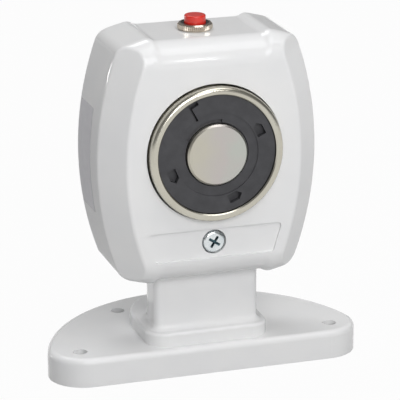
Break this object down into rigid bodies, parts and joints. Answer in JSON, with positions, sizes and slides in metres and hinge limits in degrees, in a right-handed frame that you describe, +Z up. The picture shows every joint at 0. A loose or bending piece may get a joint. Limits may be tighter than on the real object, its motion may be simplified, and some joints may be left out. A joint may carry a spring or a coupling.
{
  "type": "electromagnetic door holder",
  "caption": "Floor-standing electromagnetic door holder: white bowed housing with a round pot magnet, a red release button on top and a column on a half-round fixing base.",
  "frame": {"origin": "on the floor under the part, midway between the pole face and the back of the base, on the mirror plane", "axes": "+Z up, -Y the way the pole face looks, +X to the right seen from the front"},
  "size_m": [0.1328, 0.074, 0.1466],
  "materials": {
    "white_plastic": "glossy white moulded plastic, light leathery orange peel",
    "nickel_steel": "bright nickel plate with a faint warm tint",
    "ground_steel": "finely ground and passivated steel",
    "zinc_steel": "blue zinc plate",
    "bright_chrome": "chrome plate",
    "dark_plastic": "dark grey glass-filled plastic",
    "red_plastic": "glossy red plastic",
    "copper_wire": "enamelled copper winding",
    "brass": "bare brass",
    "board_green": "green circuit board",
    "block_grey": "grey terminal plastic",
    "wire_jacket": "black wire insulation",
    "spring_steel": "bright spring wire"
  },
  "bodies": {
    "housing": {"floor_base": "white_plastic", "column_screws": "zinc_steel", "housing_hood": "white_plastic", "back_plate": "white_plastic", "cover_screw": "zinc_steel", "screw_insert": "brass", "magnet_pot": "nickel_steel", "magnet_core": "ground_steel", "coil_bobbin": "dark_plastic", "coil_winding": "copper_wire", "core_bolt": "zinc_steel", "lock_washer": "zinc_steel", "button_nut": "bright_chrome", "button_bushing": "dark_plastic", "button_lock_ring": "zinc_steel", "switch_base": "dark_plastic", "contact_terminals": "brass", "button_spring": "spring_steel", "terminal_board": "board_green", "terminal_block": "block_grey", "terminal_screws": "zinc_steel", "board_screws": "zinc_steel", "coil_leads": "wire_jacket", "button_leads": "wire_jacket", "suppressor_diode": "dark_plastic"},
    "button": {"button_cap": "red_plastic", "contact_bridge": "brass"}
  },
  "joints": [
    {"name": "button_press", "type": "slide", "parent": "housing", "child": "button", "axis": [0, 0, -1], "range_m": [0, 0.002], "stiffness_N_per_m": 800, "springref_m": -0.001, "deforming": ["button_spring"]}
  ]
}
